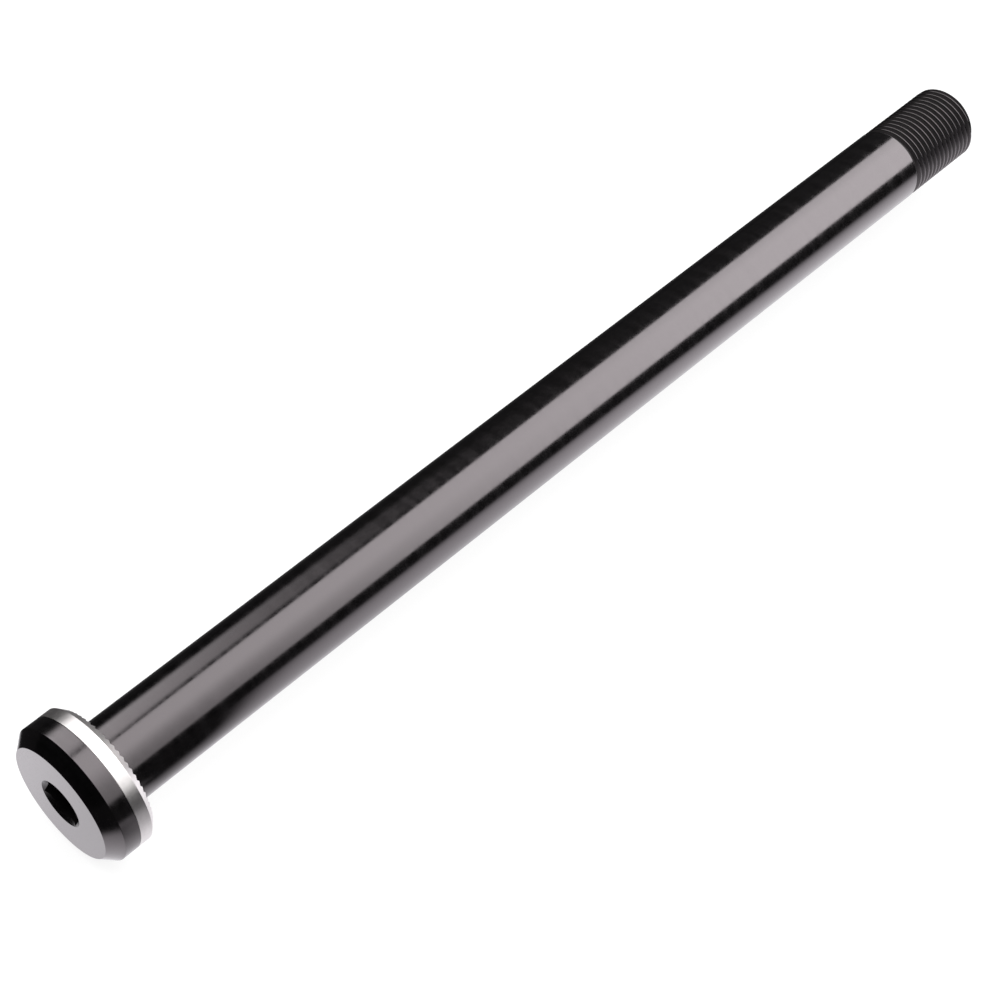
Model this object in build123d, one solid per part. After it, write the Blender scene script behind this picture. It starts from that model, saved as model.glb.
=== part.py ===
from build123d import *
import os
from math import radians, sqrt, tan, tau

# Bicycle thru axle: a turned aluminium axle and the serrated steel washer under its head.
# Millimetres. The axle stands on its head: the origin is the centre of the head's flat
# face, and +Z runs along the axis to the threaded tip.

# Lengths along the axis
clamp_length = 174.0  # from the washer's teeth to the tip
head_height = 4.27
bevel_height = 1.85
washer_thickness = 2.78  # from the head's seat to the tops of the teeth
pilot_setback = 0.2  # how far the pilot stops below the tops of the teeth
thread_length = 14.0  # from the relief groove to the tip, with the chamfer
relief_width = 0.95

# Diameters
head_diameter = 20.3
face_diameter = 17.0
pilot_diameter = 12.6
shank_diameter = 12.0
thread_diameter = 11.97  # major diameter of a 12 mm external thread, with its allowance
bore_diameter = 7.5

# Thread form
thread_pitch = 1.0
thread_depth_share = 0.6134  # depth of a metric external thread as a share of its pitch
flank_angle = 30.0  # each flank from the plane across the axis

# Hex socket
hex_across_flats = 6.0
hex_turn = 30.0  # degrees from a corner on +X to a flat square to it
hex_depth = 8.0  # full depth of the flats
hex_lip_margin = 0.08  # the round lead-in is this much wider than the corners, on the radius
drill_point_angle = 118.0

# Edges
root_fillet = 0.2
tip_chamfer = 0.2
bore_chamfer = 0.3

# Washer
washer_clearance = 0.05  # running clearance on the pilot, on the radius
washer_bore_chamfer = 0.35
washer_rim_bevel_width = 1.0
washer_rim_bevel_height = 1.0
tooth_count = 64
tooth_height = 0.27  # at the outer edge of the toothed face
tooth_land_share = 0.14  # flat top of a tooth as a share of the pitch

# Worked out from the values above
face_radius = face_diameter / 2
head_radius = head_diameter / 2
pilot_radius = pilot_diameter / 2
shank_radius = shank_diameter / 2
thread_radius = thread_diameter / 2
bore_radius = bore_diameter / 2

washer_top = head_height + washer_thickness
pilot_top = washer_top - pilot_setback
tip = washer_top + clamp_length
thread_start = tip - thread_length
shank_end = thread_start - relief_width

thread_depth = thread_depth_share * thread_pitch
relief_radius = thread_radius - thread_depth
flank_run = tan(radians(flank_angle))

hex_apothem = hex_across_flats / 2
hex_corner_radius = hex_across_flats / sqrt(3)
hex_lip_radius = hex_corner_radius + hex_lip_margin
drill_slope = tan(radians(drill_point_angle / 2))
drill_shoulder = hex_depth + (bore_radius - hex_apothem) / drill_slope
drill_apex = drill_shoulder - bore_radius / drill_slope

washer_outer_radius = head_radius
washer_bore_radius = pilot_radius + washer_clearance
toothed_radius = washer_outer_radius - washer_rim_bevel_width
tooth_pitch_angle = tau / tooth_count


def turned(points):
    """Solid of revolution about Z from a closed outline of (radius, height) points."""
    with BuildPart() as piece:
        with BuildSketch(Plane.XZ):
            with BuildLine():
                Polyline(*points, close=True)
            make_face()
        revolve(axis=Axis.Z)
    return piece.part


def axle_outline():
    """Outside of the axle, from the head's face up to the tip."""
    return [
        (0, 0),
        (face_radius, 0),
        (head_radius, bevel_height),
        (head_radius, head_height),
        (pilot_radius, head_height),
        (pilot_radius, pilot_top),
        (shank_radius, pilot_top),
        (shank_radius, shank_end),
        (relief_radius, shank_end + (shank_radius - relief_radius) * flank_run),
        (relief_radius, thread_start - (thread_radius - relief_radius) * flank_run),
        (thread_radius, thread_start),
        (thread_radius, tip - tip_chamfer),
        (thread_radius - tip_chamfer, tip),
        (0, tip),
    ]


def drilled_bore():
    """Long hole from the tip, with the drill's cone at its end and a chamfer at its mouth."""
    return turned(
        [
            (0, drill_apex),
            (bore_radius, drill_shoulder),
            (bore_radius, tip - bore_chamfer),
            (bore_radius + bore_chamfer, tip),
            (0, tip),
        ]
    )


def hex_socket():
    """Broached hexagon, two flats square to X, with a round 45 degree lead-in at the face."""
    with BuildPart() as socket:
        with BuildSketch():
            RegularPolygon(radius=hex_corner_radius, side_count=6, rotation=hex_turn)
        extrude(amount=drill_shoulder)
    return socket.part + turned([(0, 0), (hex_lip_radius, 0), (0, hex_lip_radius)])


def make_axle():
    body = turned(axle_outline())
    root = (
        body.edges()
        .filter_by(GeomType.CIRCLE)
        .filter_by_position(Axis.Z, head_height, head_height)
        .sort_by(SortBy.RADIUS)[0]
    )
    body = fillet(root, root_fillet)
    return body - drilled_bore() - hex_socket()


def tooth_gap():
    """V notch between two teeth: it narrows to a point on the axis, as radial serrations do."""
    reach = washer_outer_radius
    growth = reach / toothed_radius
    half_width = reach * tan(tooth_pitch_angle * (1 - tooth_land_share) / 2)
    depth = tooth_height * growth
    with BuildSketch(Plane.YZ.offset(reach)) as mouth:
        with BuildLine():
            Polyline(
                (-half_width, washer_top),
                (half_width, washer_top),
                (0, washer_top - depth),
                close=True,
            )
        make_face()
    return loft([mouth.sketch.face(), Vertex(0, 0, washer_top)])


def make_washer():
    ring = turned(
        [
            (washer_bore_radius + washer_bore_chamfer, head_height),
            (washer_outer_radius, head_height),
            (washer_outer_radius, washer_top - washer_rim_bevel_height),
            (toothed_radius, washer_top),
            (washer_bore_radius + washer_bore_chamfer, washer_top),
            (washer_bore_radius, washer_top - washer_bore_chamfer),
            (washer_bore_radius, head_height + washer_bore_chamfer),
        ]
    )
    gap = tooth_gap()
    gaps = [place * gap for place in PolarLocations(0, tooth_count)]
    return ring - gaps


parts = {"axle": make_axle(), "serrated_washer": make_washer()}

os.makedirs("parts", exist_ok=True)
for name, part in parts.items():
    export_step(part, f"parts/{name}.step")
    print(name, "volume", round(part.volume, 2), "mm3")
print("length over all", round(tip, 2), "mm")
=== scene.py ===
from math import radians, sqrt, tan, tau

import bmesh
import bpy
import numpy as np
from mathutils import Matrix, Vector


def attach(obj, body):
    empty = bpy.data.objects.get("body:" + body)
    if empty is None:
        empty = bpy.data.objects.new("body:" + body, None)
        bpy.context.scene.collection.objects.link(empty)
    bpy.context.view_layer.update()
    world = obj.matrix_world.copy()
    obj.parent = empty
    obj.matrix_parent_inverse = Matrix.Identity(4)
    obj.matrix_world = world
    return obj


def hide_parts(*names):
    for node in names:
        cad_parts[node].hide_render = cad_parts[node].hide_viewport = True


# Bicycle thru axle: the turned axle with its helical thread, and the serrated washer under its
# head. Lengths are in millimetres here and become metres in the meshes. The axle stands on its
# head: the origin is the centre of the head's flat face, and +Z runs along the axis to the tip.

MM = 0.001

# Axle, along its axis
CLAMP_LENGTH = 174.0  # from the washer's teeth to the tip
HEAD_HEIGHT = 4.27
BEVEL_HEIGHT = 1.85
WASHER_THICKNESS = 2.78
PILOT_SETBACK = 0.2  # how far the pilot stops below the tops of the teeth
THREAD_LENGTH = 14.0
RELIEF_WIDTH = 0.95

# Axle, radii
HEAD_RADIUS = 10.15
FACE_RADIUS = 8.5
PILOT_RADIUS = 6.3
SHANK_RADIUS = 6.0
THREAD_RADIUS = 5.985
BORE_RADIUS = 3.75

# Thread form
PITCH = 1.0
THREAD_DEPTH = 0.6134 * PITCH  # of a metric external thread
CREST_HALF_FLAT = PITCH / 16
CREST_ROUNDING = 0.06 * PITCH
ROOT_HALF_WIDTH = PITCH / 8
ROOT_ARC_RADIUS = 0.1443 * PITCH
FLANK_ANGLE = 30.0  # each flank from the plane across the axis
FLANK_TAN = tan(radians(FLANK_ANGLE))
HELIX_LEAD = 0.41 * PITCH  # height of the first crest over the thread's start, on +X

# Socket
HEX_APOTHEM = 3.0
HEX_DEPTH = 8.0
LIP_MARGIN = 0.08  # the round lip is this much wider than the hexagon's corners
HEX_CORNER_RADIUS = 2 * HEX_APOTHEM / sqrt(3)
LIP_RADIUS = HEX_CORNER_RADIUS + LIP_MARGIN
DRILL_POINT_ANGLE = 118.0
DRILL_TAN = tan(radians(DRILL_POINT_ANGLE / 2))

# Washer
WASHER_BORE_RADIUS = 6.35
WASHER_BORE_CHAMFER = 0.35
RIM_BEVEL_WIDTH = 1.0
RIM_BEVEL_HEIGHT = 1.0
TOOTH_COUNT = 64
TOOTH_HEIGHT = 0.27  # at the outer edge of the toothed face
TOOTH_LAND_SHARE = 0.14  # flat top of a tooth as a share of the pitch
TOOTH_SOFTENING = 0.02  # as a share of half a gap's width, and of its depth

# Edges
TIP_CHAMFER = 0.2
BORE_CHAMFER = 0.3
ROOT_FILLET = 0.2
BEVEL_ROUNDING = 0.1  # both edges of the head's bevel
RELIEF_ROUNDING = 0.1
STEP_ROUNDING = 0.06  # the end of the shank, and the washer's rim
EDGE_ROUNDING = 0.05
BORE_ROUNDING = 0.04

# Meshes
ARC_STEPS = 4
GUARD = 0.03  # from an arc to the row beside it that keeps the shading flat
RIM_GUARD = 0.3  # from the toothed face to the first row on the rim's bevel
FLAT_STEPS = 36  # steps round the axle for each flat of the socket
MERGE_DISTANCE = 0.0004  # points closer than this become one
SLIVER = 0.0002  # edges shorter than this are taken out
SHARP_ANGLE = 32.0  # edges that turn by more than this stay sharp

# Heights and radii worked out from the values above
WASHER_TOP = HEAD_HEIGHT + WASHER_THICKNESS
PILOT_TOP = WASHER_TOP - PILOT_SETBACK
TIP = WASHER_TOP + CLAMP_LENGTH
THREAD_START = TIP - THREAD_LENGTH
SHANK_END = THREAD_START - RELIEF_WIDTH
RELIEF_RADIUS = THREAD_RADIUS - THREAD_DEPTH
RELIEF_NEAR = SHANK_END + (SHANK_RADIUS - RELIEF_RADIUS) * FLANK_TAN
RELIEF_FAR = THREAD_START - THREAD_DEPTH * FLANK_TAN
DRILL_SHOULDER = HEX_DEPTH + (BORE_RADIUS - HEX_APOTHEM) / DRILL_TAN
TOOTHED_RADIUS = HEAD_RADIUS - RIM_BEVEL_WIDTH

# Directions in the part's frame: the axle lies on its side on the table, and its near side is the
# one towards the camera
ALONG = Vector((0.0, 0.0, 1.0))
TABLE_UP = Vector((-0.32977, -0.94406, 0.0))
NEAR_SIDE = Vector((0.94406, -0.32977, 0.0))
SOFTBOX_INWARD = ALONG * 0.40 + NEAR_SIDE * 0.8829  # square to the softbox's edge over the axle

# Table
TABLE_HALF = 1500.0  # half of one side
TABLE_GAP = 0.02  # under the head's rim
TABLE_GREY = 0.26  # matt colour that the camera sees
TABLE_GLOW = 0.84  # white light that the camera sees besides
TABLE_REST = 0.02  # what the gloss shows of the table outside the pool of light


# Surfaces


def rounded(points, radii):
    """Open outline with its corners rounded.

    Each inner corner becomes an arc that touches both sides: its centre lies on the corner's
    bisector at radius / sin(half the corner's angle), and the arc's points turn evenly about it.
    A guard point on each side, a little before the arc, keeps the shading flat there.
    """
    out = [np.array(points[0], float)]
    for before, corner, after, radius in zip(points, points[1:], points[2:], radii):
        before, corner, after = (np.array(p, float) for p in (before, corner, after))
        back = (before - corner) / np.linalg.norm(before - corner)
        ahead = (after - corner) / np.linalg.norm(after - corner)
        half = np.arccos(np.clip(back @ ahead, -1, 1)) / 2
        reach = radius / np.tan(half)
        bisector = (back + ahead) / np.linalg.norm(back + ahead)
        centre = corner + bisector * radius / np.sin(half)
        start, end = corner + back * reach - centre, corner + ahead * reach - centre
        share = np.linspace(0, 1, ARC_STEPS + 1)[:, None]
        sweep = np.pi - 2 * half
        arc = (np.sin((1 - share) * sweep) * start + np.sin(share * sweep) * end) / np.sin(sweep)
        out.append(corner + back * (reach + GUARD))
        out.extend(centre + arc)
        out.append(corner + ahead * (reach + GUARD))
    out.append(np.array(points[-1], float))
    return out


def new_object(name, data):
    """Object at the origin of the scene that holds this mesh or camera."""
    thing = bpy.data.objects.new(name, data)
    bpy.context.scene.collection.objects.link(thing)
    return thing


def ring_mesh(name, rows, angles):
    """Closed surface carried round Z.

    Row i and angle j give the point (r cos a, r sin a, z), with r and z from the row, which is
    either one pair or one pair for each angle. The last row joins the first, and the last angle
    is the first one again, so points that meet are merged and the surface is closed.
    """
    count = len(angles)
    radius = np.stack([np.broadcast_to(r, count) for r, _ in rows])
    height = np.stack([np.broadcast_to(z, count) for _, z in rows])
    points = np.stack([radius * np.cos(angles), radius * np.sin(angles), height], -1)
    index = np.arange(radius.size).reshape(radius.shape)
    upper = np.roll(index, -1, axis=0)
    quads = np.stack([index[:, :-1], index[:, 1:], upper[:, 1:], upper[:, :-1]], -1)
    mesh = bpy.data.meshes.new(name)
    mesh.from_pydata((points.reshape(-1, 3) * MM).tolist(), [], quads.reshape(-1, 4).tolist())
    work = bmesh.new()
    work.from_mesh(mesh)
    bmesh.ops.remove_doubles(work, verts=work.verts, dist=MERGE_DISTANCE * MM)
    bmesh.ops.dissolve_degenerate(work, edges=work.edges, dist=SLIVER * MM)
    work.to_mesh(mesh)
    work.free()
    mesh.polygons.foreach_set("use_smooth", np.ones(len(mesh.polygons), bool))
    mesh.set_sharp_from_angle(angle=radians(SHARP_ANGLE))
    mesh.validate()
    return new_object(name, mesh)


def thread_radius(height, angles):
    """Radius of the threaded end at a height and an angle.

    The phase is the distance from the nearest crest along Z, after the helix has risen by one
    pitch for each turn. The form is flat at the crest, falls at 60 degrees to the axis on the
    flanks and ends in a round root, and is cut back by the relief's side and the tip's chamfer.
    The crest's corners are rounded: a fall x becomes half of x plus the root of x squared plus
    the rounding squared.
    """
    turns = (height - THREAD_START - HELIX_LEAD) / PITCH - angles / tau
    phase = np.abs((turns + 0.5) % 1.0 - 0.5) * PITCH
    fall = (phase - CREST_HALF_FLAT) / FLANK_TAN
    flank = (fall + np.hypot(fall, CREST_ROUNDING)) / 2
    from_root = np.clip(PITCH / 2 - phase, 0, ROOT_ARC_RADIUS)
    arc = THREAD_DEPTH - ROOT_ARC_RADIUS + np.sqrt(ROOT_ARC_RADIUS**2 - from_root**2)
    depth = np.where(phase > PITCH / 2 - ROOT_HALF_WIDTH, arc, flank)
    relief_side = RELIEF_RADIUS + (height - RELIEF_FAR) / FLANK_TAN
    tip_side = THREAD_RADIUS - np.clip(height - (TIP - TIP_CHAMFER), 0, None)
    return np.minimum(THREAD_RADIUS - depth, np.minimum(relief_side, tip_side))


def threaded_rows(angles):
    """Rows that follow the helix, each held between the relief and the tip.

    A row starts at its own height at angle 0 and climbs one pitch in a turn, so crests and roots
    keep to single rows all the way round. Rows beyond either end lie flat on that end. Falling
    holds the rows from a crest to the root as shares of the pitch, closest where the form bends.
    """
    falling = np.array([0.0, 0.03, 0.055, 0.075, 0.1, 0.14, 0.26, 0.375, 0.42, 0.46, 0.5])
    phases = np.concatenate([falling, 1.0 - falling[-2:0:-1]])
    crest = THREAD_START + HELIX_LEAD
    first = np.floor((RELIEF_FAR - crest) / PITCH) - 1
    last = np.ceil((TIP - crest) / PITCH)
    starts = crest + PITCH * (np.arange(first, last + 1)[:, None] + phases).ravel()
    rows = []
    for start in starts:
        height = np.clip(start + PITCH * angles / tau, RELIEF_FAR, TIP)
        if height[-1] > RELIEF_FAR and height[0] < TIP:
            rows.append((thread_radius(height, angles), height))
    return rows


def make_axle():
    """The axle as one closed surface, from the socket's lip over the head and the shank to the
    threaded tip, and back through the bore, the drill's cone and the six flats.

    The hexagon's radius at an angle is its apothem over the cosine of the angle from the middle
    of the nearest flat. The lip's 45 degree cone and the drill's cone are cut where they meet it.
    """
    angles = np.linspace(0, tau, 6 * FLAT_STEPS + 1)
    hexagon = HEX_APOTHEM / np.cos((angles + tau / 12) % (tau / 6) - tau / 12)
    outside = rounded(
        [
            (HEX_APOTHEM, LIP_RADIUS - HEX_APOTHEM),
            (LIP_RADIUS, 0),
            (FACE_RADIUS, 0),
            (HEAD_RADIUS, BEVEL_HEIGHT),
            (HEAD_RADIUS, HEAD_HEIGHT),
            (PILOT_RADIUS, HEAD_HEIGHT),
            (PILOT_RADIUS, PILOT_TOP),
            (SHANK_RADIUS, PILOT_TOP),
            (SHANK_RADIUS, SHANK_END),
            (RELIEF_RADIUS, RELIEF_NEAR),
            (RELIEF_RADIUS, RELIEF_FAR),
        ],
        [
            EDGE_ROUNDING,
            BEVEL_ROUNDING,
            BEVEL_ROUNDING,
            EDGE_ROUNDING,
            ROOT_FILLET,
            EDGE_ROUNDING,
            EDGE_ROUNDING,
            STEP_ROUNDING,
            RELIEF_ROUNDING,
        ],
    )
    inside = rounded(
        [
            (BORE_RADIUS + 2 * BORE_CHAMFER, TIP),
            (BORE_RADIUS + BORE_CHAMFER, TIP),
            (BORE_RADIUS, TIP - BORE_CHAMFER),
            (BORE_RADIUS, DRILL_SHOULDER),
        ],
        [BORE_ROUNDING, BORE_ROUNDING],
    )
    rows = [
        (hexagon, LIP_RADIUS - hexagon),
        *outside[1:],
        *threaded_rows(angles),
        *inside,
        (hexagon, DRILL_SHOULDER - (BORE_RADIUS - hexagon) / DRILL_TAN),
    ]
    return ring_mesh("axle_turned", rows, angles)


def make_washer():
    """The washer as one closed surface with radial teeth.

    Between two teeth the top falls by slope * r * gap, where gap is 1 in the middle of the gap and
    falls evenly to 0 at the lands, so each notch narrows to a point on the axis. The notch's
    bottom is softened: a distance x from the middle becomes the root of x squared plus the
    softening squared. The lands' edges are rounded as the thread's crests are. The bevelled rim
    and the bore's chamfer are cut where they meet that surface. Within holds the angles of one
    tooth as shares of the pitch, closest where the surface bends.
    """
    within = np.array([0, 0.03, 0.22, 0.40, 0.43, 0.46, 0.5, 0.54, 0.57, 0.60, 0.78, 0.97])
    shares = (np.arange(TOOTH_COUNT)[:, None] + within).ravel()
    angles = np.append(shares, TOOTH_COUNT) * tau / TOOTH_COUNT
    pitch_angle = tau / TOOTH_COUNT
    off_centre = (angles + pitch_angle / 2) % pitch_angle - pitch_angle / 2
    half_gap = tan(pitch_angle * (1 - TOOTH_LAND_SHARE) / 2)
    softened = np.hypot(np.sin(off_centre), TOOTH_SOFTENING * half_gap)
    gap = np.cos(off_centre) - softened / half_gap
    gap = (gap + np.hypot(gap, TOOTH_SOFTENING)) / 2
    slope = TOOTH_HEIGHT / TOOTHED_RADIUS
    rim_slope = RIM_BEVEL_HEIGHT / RIM_BEVEL_WIDTH
    chamfer_radius = WASHER_BORE_RADIUS + WASHER_BORE_CHAMFER
    outer = TOOTHED_RADIUS * rim_slope / (rim_slope - slope * gap)
    inner = chamfer_radius / (1 + slope * gap)
    rim = rounded(
        [
            (TOOTHED_RADIUS + RIM_GUARD, WASHER_TOP - RIM_GUARD * rim_slope),
            (HEAD_RADIUS, WASHER_TOP - RIM_BEVEL_HEIGHT),
            (HEAD_RADIUS, HEAD_HEIGHT),
            (chamfer_radius, HEAD_HEIGHT),
            (WASHER_BORE_RADIUS, HEAD_HEIGHT + WASHER_BORE_CHAMFER),
            (WASHER_BORE_RADIUS, WASHER_TOP - WASHER_BORE_CHAMFER),
        ],
        [STEP_ROUNDING, EDGE_ROUNDING, BORE_ROUNDING, BORE_ROUNDING],
    )
    rows = [
        (inner, WASHER_TOP - slope * inner * gap),
        (outer, WASHER_TOP - slope * outer * gap),
        *rim,
    ]
    return ring_mesh("washer_serrated", rows, angles)


# Node helpers


def value_into(tree, socket, source):
    """Links the source to a socket, or sets it there where it is a number, vector or colour."""
    if isinstance(source, bpy.types.NodeSocket):
        tree.links.new(source, socket)
    else:
        socket.default_value = source


def maths(tree, operation, result, *others):
    """The sources taken together from left to right, by one Math node for each after the first."""
    for other in others:
        node = tree.nodes.new("ShaderNodeMath")
        node.operation = operation
        value_into(tree, node.inputs[0], result)
        value_into(tree, node.inputs[1], other)
        result = node.outputs[0]
    return result


def dot(tree, vector, direction):
    """How far the vector reaches in a direction."""
    node = tree.nodes.new("ShaderNodeVectorMath")
    node.operation = "DOT_PRODUCT"
    value_into(tree, node.inputs[0], vector)
    value_into(tree, node.inputs[1], direction)
    return node.outputs["Value"]


def from_axis(tree, position):
    """Distance of a position from the Z axis: the length of its X and Y alone."""
    flat = tree.nodes.new("ShaderNodeVectorMath")
    flat.operation = "MULTIPLY"
    value_into(tree, flat.inputs[0], position)
    value_into(tree, flat.inputs[1], (1, 1, 0))
    length = tree.nodes.new("ShaderNodeVectorMath")
    length.operation = "LENGTH"
    tree.links.new(flat.outputs["Vector"], length.inputs[0])
    return length.outputs["Value"]


def ramp(tree, source, start, end, low=0.0, high=1.0):
    """Smooth step from low at start to high at end."""
    node = tree.nodes.new("ShaderNodeMapRange")
    node.interpolation_type = "SMOOTHSTEP"
    for socket, part in zip(node.inputs, (source, start, end, low, high)):
        value_into(tree, socket, part)
    return node.outputs[0]


def blend(tree, share, first, second):
    """Colour that goes from the first to the second as the share goes from 0 to 1."""
    node = tree.nodes.new("ShaderNodeMix")
    node.data_type = "RGBA"
    for name, source in (("Factor", share), ("A", first), ("B", second)):
        value_into(tree, node.inputs[name], source)
    return node.outputs["Result"]


def either_shader(tree, share, first, second):
    """Shader that goes from the first to the second as the share goes from 0 to 1."""
    node = tree.nodes.new("ShaderNodeMixShader")
    for socket, source in zip(node.inputs, (share, first, second)):
        tree.links.new(source, socket)
    return node.outputs[0]


def light(tree, kind, colour, strength):
    """Emission or Background of a colour and a strength."""
    node = tree.nodes.new(kind)
    node.inputs["Color"].default_value = (*colour, 1)
    value_into(tree, node.inputs["Strength"], strength)
    return node.outputs[0]


# Finishes

BROAD_SHARE = 0.06  # broad rings for each groove
GRAIN_PER_METRE = 1600.0
TONE_RANGE = (0.6, 1.4)  # the sum of two noises, over which colour and polish change
FULL_GLOSS = 0.5  # Specular IOR Level of a plain surface
SOCKET_FADE = (LIP_RADIUS + 0.01, LIP_RADIUS + 0.06)  # radii between which the socket's look ends
CREST_FADE = (THREAD_RADIUS - 0.13, THREAD_RADIUS - 0.03)  # and the thread flanks' look
CUT_FROM = SHANK_END + 0.05  # height from which the thread flanks' look is there

BLACK_ANODISED = {
    "dark": (0.0016, 0.0015, 0.0016, 1.0),
    "light": (0.003, 0.0028, 0.003, 1.0),
    "roughness": (0.13, 0.19),
    "grooves_per_metre": 9000.0,
    "groove_depth": 0.0012,
    "metallic": 0.0,
    "ior": 2.1,
}
BLACK_GLOSS_TINT = (1.0, 0.91, 0.945, 1.0)
BROACHED_SOCKET = {"roughness": 0.3, "gloss_loss": 0.34}
CUT_THREAD = {"colour": (0.02, 0.0184, 0.0188, 1.0), "roughness": 0.5, "gloss_loss": 0.27}
BRIGHT_STEEL = {
    "dark": (0.79, 0.757, 0.752, 1.0),
    "light": (0.87, 0.838, 0.832, 1.0),
    "roughness": (0.3, 0.33),
    "grooves_per_metre": 7000.0,
    "groove_depth": 0.001,
    "metallic": 1.0,
    "ior": 1.5,
}


def turning_marks_group():
    """Marks that a lathe tool leaves: rings about Z.

    The place along the outline is height plus radius, so one noise in one dimension gives rings
    on cylinders, cones and flat faces alike. Fine gives the grooves, Broad the slow change in
    polish from one stretch to the next, and Grain the faint mottle of the surface.
    """
    group = bpy.data.node_groups.new("turning_marks", "ShaderNodeTree")
    face = group.interface
    face.new_socket("Position", in_out="INPUT", socket_type="NodeSocketVector")
    face.new_socket("Grooves per metre", in_out="INPUT", socket_type="NodeSocketFloat")
    for name in ("Fine", "Broad", "Grain"):
        face.new_socket(name, in_out="OUTPUT", socket_type="NodeSocketFloat")
    come = group.nodes.new("NodeGroupInput")
    go = group.nodes.new("NodeGroupOutput")
    position = come.outputs["Position"]
    along = maths(group, "ADD", dot(group, position, ALONG), from_axis(group, position))
    place = maths(group, "MULTIPLY", along, come.outputs["Grooves per metre"])
    broad_place = maths(group, "MULTIPLY", place, BROAD_SHARE)

    def noise(name, dimensions, socket, source, scale, detail):
        node = group.nodes.new("ShaderNodeTexNoise")
        node.noise_dimensions = dimensions
        group.links.new(source, node.inputs[socket])
        node.inputs["Scale"].default_value = scale
        node.inputs["Detail"].default_value = detail
        group.links.new(node.outputs[0], go.inputs[name])

    noise("Fine", "1D", "W", place, 1.0, 3.0)
    noise("Broad", "1D", "W", broad_place, 1.0, 2.0)
    noise("Grain", "3D", "Vector", position, GRAIN_PER_METRE, 3.0)
    return group


def turned_finish(name, group, look):
    """Material of a turned surface: the group's marks change colour, roughness and height."""
    material = bpy.data.materials.new(name)
    material.use_nodes = True
    tree = material.node_tree
    shader = tree.nodes["Principled BSDF"]
    where = tree.nodes.new("ShaderNodeTexCoord")
    marks = tree.nodes.new("ShaderNodeGroup")
    marks.node_tree = group
    tree.links.new(where.outputs["Object"], marks.inputs["Position"])
    marks.inputs["Grooves per metre"].default_value = look["grooves_per_metre"]
    tone = maths(tree, "ADD", marks.outputs["Broad"], marks.outputs["Grain"])
    colour = blend(tree, ramp(tree, tone, *TONE_RANGE), look["dark"], look["light"])
    tree.links.new(colour, shader.inputs["Base Color"])
    tree.links.new(ramp(tree, tone, *TONE_RANGE, *look["roughness"]), shader.inputs["Roughness"])
    bump = tree.nodes.new("ShaderNodeBump")
    bump.inputs["Strength"].default_value = 1.0
    bump.inputs["Distance"].default_value = look["groove_depth"] * MM
    tree.links.new(marks.outputs["Fine"], bump.inputs["Height"])
    tree.links.new(bump.outputs[0], shader.inputs["Normal"])
    shader.inputs["Metallic"].default_value = look["metallic"]
    shader.inputs["IOR"].default_value = look["ior"]
    return material


def black_anodised_finish(group):
    """The axle's black: a turned finish, rougher and with less gloss in the broached socket and on
    the thread's cut flanks, which are paler too.

    The socket is all that lies within its lip. Flank is all that lies past the shank and below
    the thread's crests, so the relief, the tip's end and the bore there count as flank.
    """
    material = turned_finish("black_anodised", group, BLACK_ANODISED)
    tree = material.node_tree
    shader = tree.nodes["Principled BSDF"]
    where = tree.nodes.new("ShaderNodeTexCoord").outputs["Object"]
    radius = maths(tree, "DIVIDE", from_axis(tree, where), MM)
    height = dot(tree, where, ALONG)
    in_socket = ramp(tree, radius, *SOCKET_FADE, 1.0, 0.0)
    below_crest = ramp(tree, radius, *CREST_FADE, 1.0, 0.0)
    past_shank = maths(tree, "GREATER_THAN", height, CUT_FROM * MM)
    on_flank = maths(tree, "MULTIPLY", below_crest, past_shank)

    turned_colour = shader.inputs["Base Color"].links[0].from_socket
    colour = blend(tree, on_flank, turned_colour, CUT_THREAD["colour"])
    tree.links.new(colour, shader.inputs["Base Color"])

    polished = shader.inputs["Roughness"].links[0].from_socket
    broached = maths(tree, "MULTIPLY", in_socket, BROACHED_SOCKET["roughness"])
    cut = maths(tree, "MULTIPLY", on_flank, CUT_THREAD["roughness"])
    tree.links.new(maths(tree, "MAXIMUM", polished, broached, cut), shader.inputs["Roughness"])

    socket_loss = maths(tree, "MULTIPLY", in_socket, BROACHED_SOCKET["gloss_loss"])
    flank_loss = maths(tree, "MULTIPLY", on_flank, CUT_THREAD["gloss_loss"])
    loss = maths(tree, "MAXIMUM", socket_loss, flank_loss)
    gloss = maths(tree, "SUBTRACT", FULL_GLOSS, loss)
    tree.links.new(gloss, shader.inputs["Specular IOR Level"])
    shader.inputs["Specular Tint"].default_value = BLACK_GLOSS_TINT
    return material


# Studio


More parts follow.
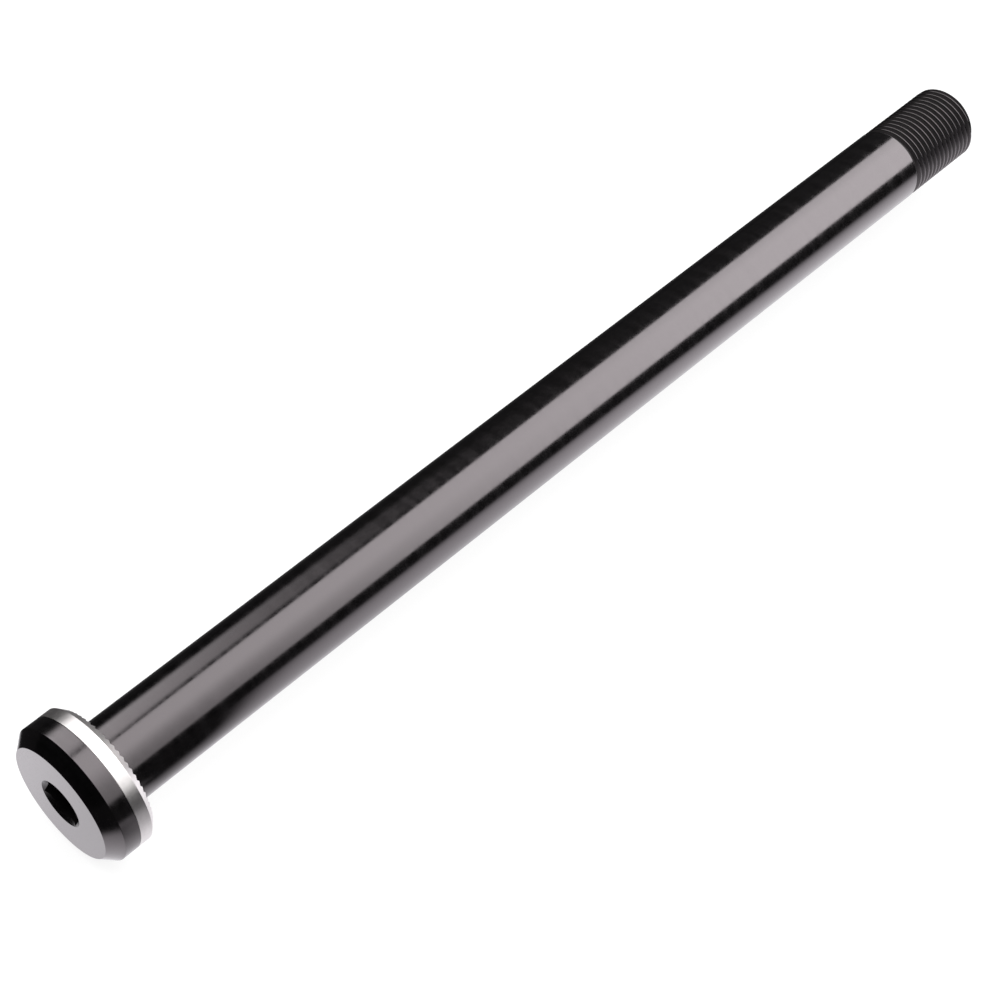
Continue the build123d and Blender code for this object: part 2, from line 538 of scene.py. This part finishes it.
def studio_light():
    """Soft light from all round, as the world's brightness in each direction.

    Up, side and along are how far a direction points up from the table, to the near side and
    along the axle. The large softbox covers the near side from about 15 degrees over the table.
    It is brighter towards the tip, falls to a fifth right past it and ends in front of the head.
    It fades low down except towards the tip, and a little along its far edge towards the tip. A
    smaller panel covers the far side high up and fades towards the tip, and a third one faces the
    tip. The walls between them are nearly dark, which gives the black finish its dark bands. The
    camera itself sees white.
    """
    world = bpy.data.worlds.new("studio")
    bpy.context.scene.world = world
    world.use_nodes = True
    tree = world.node_tree
    tree.nodes.clear()
    ray = tree.nodes.new("ShaderNodeTexCoord").outputs["Generated"]
    up = dot(tree, ray, TABLE_UP)
    side = dot(tree, ray, NEAR_SIDE)
    along = dot(tree, ray, ALONG)
    inward = dot(tree, ray, SOFTBOX_INWARD)

    off_tip = ramp(tree, along, 0.3, 0.55, 0.6, 0.0)
    low_fade = maths(tree, "MULTIPLY", off_tip, ramp(tree, side, 0.3, 0.9))
    towards_tip = ramp(tree, along, 0.45, 0.62, 0.0, 0.17)
    edge_fade = maths(tree, "MULTIPLY", towards_tip, ramp(tree, inward, 0.4, 0.0))
    fade = maths(tree, "ADD", low_fade, edge_fade)
    softbox = maths(
        tree,
        "MULTIPLY",
        ramp(tree, along, 0.3, 0.66, 2.05, 3.15),
        maths(tree, "SUBTRACT", 1.0, fade),
        ramp(tree, up, 0.23, 0.28),
        ramp(tree, inward, -0.04, 0.0),
        ramp(tree, along, 0.74, 0.86, 1.0, 0.2),
        ramp(tree, along, -0.55, -0.35),
    )

    level = ramp(tree, along, 0.255, 0.51, 1.48, 0.0)
    panel_edge = maths(tree, "ADD", inward, ramp(tree, along, 0.275, 0.32, -0.08, 0.0))
    panel = maths(
        tree,
        "MULTIPLY",
        level,
        level,
        ramp(tree, up, 0.3, 0.55),
        ramp(tree, panel_edge, -0.1, -0.24),
        ramp(tree, along, -0.6, -0.3),
    )

    past_tip = ramp(tree, along, 0.74, 0.86, 0.0, 1.45)
    tip_panel = maths(tree, "MULTIPLY", past_tip, ramp(tree, up, -0.35, -0.2))
    walls = ramp(tree, along, 0.3, 0.6, 0.004, 0.03)

    total = maths(tree, "ADD", softbox, panel, tip_panel, walls)
    camera_ray = tree.nodes.new("ShaderNodeLightPath").outputs["Is Camera Ray"]
    lit = light(tree, "ShaderNodeBackground", (1, 1, 1), total)
    white = light(tree, "ShaderNodeBackground", (1, 1, 1), 1.0)
    out = tree.nodes.new("ShaderNodeOutputWorld")
    tree.links.new(either_shader(tree, camera_ray, lit, white), out.inputs["Surface"])


def painted_light_pool(tree):
    """Brightness of the table round the axle, which the gloss shows: a soft pool of light.

    Across is the distance from the axle towards the near side and along the height over the
    head's face, both in millimetres. The pool is painted light: the table gives it off as glow to
    all rays but the camera's, and no lamp lights it. Past the head the pool lies on the near side.
    It reaches a certain way across at each height, least just past the head and most halfway
    along the axle, and falls off beyond that reach, with a faint glow on the far side. It is
    darker under the axle, which is painted shade. Beside the head it also lies on the far side,
    where it is brighter. There it is darker over the head's length than in front of it, and
    darker close under the head than further out, which is painted shade where the head rests.
    It is cut short in front of the head and past the tip. A fainter painted patch of light lies
    further out on the near side, beside the head.
    """
    where = tree.nodes.new("ShaderNodeTexCoord").outputs["Object"]
    across = dot(tree, where, NEAR_SIDE / MM)
    along = dot(tree, where, ALONG / MM)

    reach = ramp(tree, along, 9.0, 15.0, 22.0, 12.5)
    reach = maths(tree, "ADD", reach, ramp(tree, along, 22.0, 50.0, 0.0, 32.0))
    reach = maths(tree, "SUBTRACT", reach, ramp(tree, along, 100.0, 165.0, 0.0, 12.0))
    within_reach = ramp(tree, maths(tree, "DIVIDE", across, reach), 0.3, 1.5, 1.0, 0.0)

    # painted shade under the axle: the near side's light falls off towards and past the axle's
    # line
    past_axle = maths(tree, "SUBTRACT", across, ramp(tree, along, 14.0, 60.0, -9.0, 0.0))
    near = ramp(tree, along, 20.0, 140.0, 1.15, 1.65)
    near = maths(tree, "MULTIPLY", near, ramp(tree, past_axle, -10.0, 11.0))
    far = ramp(tree, along, 60.0, 110.0, 0.09, 0.04)
    far = maths(tree, "MULTIPLY", far, ramp(tree, across, -46.0, -18.0))
    beside_shank = maths(tree, "MAXIMUM", near, far)

    # painted shade where the head rests: darker close under the head and over its length
    beside_head = maths(
        tree,
        "MULTIPLY",
        ramp(tree, across, -18.0, 0.0, 1.7, 1.35),
        ramp(tree, across, -27.0, -18.0),
        ramp(tree, along, -2.0, 8.0, 1.0, 0.7),
    )

    past_head = ramp(tree, along, 9.0, 14.0)
    before_shank = maths(tree, "SUBTRACT", 1.0, past_head)
    both = maths(
        tree,
        "ADD",
        maths(tree, "MULTIPLY", beside_shank, past_head),
        maths(tree, "MULTIPLY", beside_head, before_shank),
    )
    pool = maths(
        tree,
        "MULTIPLY",
        both,
        within_reach,
        ramp(tree, along, -17.0, -8.5),
        ramp(tree, along, 225.0, 185.0),
    )

    # a fainter painted patch of light beside the head
    patch = maths(
        tree,
        "MULTIPLY",
        ramp(tree, across, 18.0, 26.0, 0.0, 0.43),
        ramp(tree, across, 60.0, 42.0),
        ramp(tree, along, 17.5, 13.0),
        ramp(tree, along, 5.0, 12.0),
    )
    return maths(tree, "ADD", pool, patch, TABLE_REST)


def white_table():
    """Material of the table: white with a faint shadow to the camera, the pool of light to the
    object's gloss, and clear from below."""
    material = bpy.data.materials.new("white_table")
    material.use_nodes = True
    material.cycles.emission_sampling = "NONE"
    tree = material.node_tree
    tree.nodes.clear()
    matt = tree.nodes.new("ShaderNodeBsdfDiffuse")
    matt.inputs["Color"].default_value = (TABLE_GREY, TABLE_GREY, TABLE_GREY, 1)
    seen = tree.nodes.new("ShaderNodeAddShader")
    tree.links.new(matt.outputs[0], seen.inputs[0])
    tree.links.new(light(tree, "ShaderNodeEmission", (1, 1, 1), TABLE_GLOW), seen.inputs[1])
    # the table's painted pool of light, which all rays but the camera's see
    reflected = light(tree, "ShaderNodeEmission", (0.98, 0.965, 1.0), painted_light_pool(tree))
    camera_ray = tree.nodes.new("ShaderNodeLightPath").outputs["Is Camera Ray"]
    upper = either_shader(tree, camera_ray, reflected, seen.outputs[0])
    from_below = tree.nodes.new("ShaderNodeNewGeometry").outputs["Backfacing"]
    clear = tree.nodes.new("ShaderNodeBsdfTransparent").outputs[0]
    out = tree.nodes.new("ShaderNodeOutputMaterial")
    tree.links.new(either_shader(tree, from_below, upper, clear), out.inputs["Surface"])
    return material


def table_top():
    """Plain table just under the head's rim: a square about the axle's middle, facing TABLE_UP."""
    centre = -TABLE_UP * (HEAD_RADIUS + TABLE_GAP) + ALONG * TIP / 2
    corners = [
        centre + NEAR_SIDE * TABLE_HALF * a + ALONG * TABLE_HALF * b
        for a, b in ((-1, -1), (-1, 1), (1, 1), (1, -1))
    ]
    if (corners[1] - corners[0]).cross(corners[2] - corners[1]).dot(TABLE_UP) < 0:
        corners.reverse()
    mesh = bpy.data.meshes.new("table_top")
    mesh.from_pydata([corner * MM for corner in corners], [], [(0, 1, 2, 3)])
    mesh.materials.append(white_table())
    table = new_object("table_top", mesh)
    table.visible_shadow = False


def photo_camera():
    """Camera at the photograph's place: in front of the head, above the near side."""
    right = Vector((0.681115, -0.238499, 0.692243))
    up = Vector((-0.708984, -0.450917, 0.542232))
    back = right.cross(up)
    place = Vector((62.199, -273.723, -77.253))
    lens = bpy.data.cameras.new("camera")
    lens.sensor_width = 36.0
    lens.lens = 82.86
    lens.clip_start, lens.clip_end = 0.01, 20.0
    camera = new_object("camera", lens)
    turn = Matrix((right, up, back)).transposed().to_4x4()
    camera.matrix_world = Matrix.Translation(place * MM) @ turn
    bpy.context.scene.camera = camera


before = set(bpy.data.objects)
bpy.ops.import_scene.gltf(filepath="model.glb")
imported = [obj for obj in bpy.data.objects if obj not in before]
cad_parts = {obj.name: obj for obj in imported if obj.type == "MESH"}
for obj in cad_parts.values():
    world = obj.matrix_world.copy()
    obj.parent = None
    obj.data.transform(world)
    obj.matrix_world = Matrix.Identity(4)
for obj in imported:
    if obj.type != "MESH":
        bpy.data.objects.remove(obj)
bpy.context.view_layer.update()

marks = turning_marks_group()

axle = make_axle()
axle.data.materials.append(black_anodised_finish(marks))
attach(axle, "axle")
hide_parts("axle")

washer = make_washer()
washer.data.materials.append(turned_finish("bright_steel", marks, BRIGHT_STEEL))
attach(washer, "washer")
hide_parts("serrated_washer")

table_top()
studio_light()
photo_camera()
bpy.context.scene.view_settings.view_transform = "Standard"
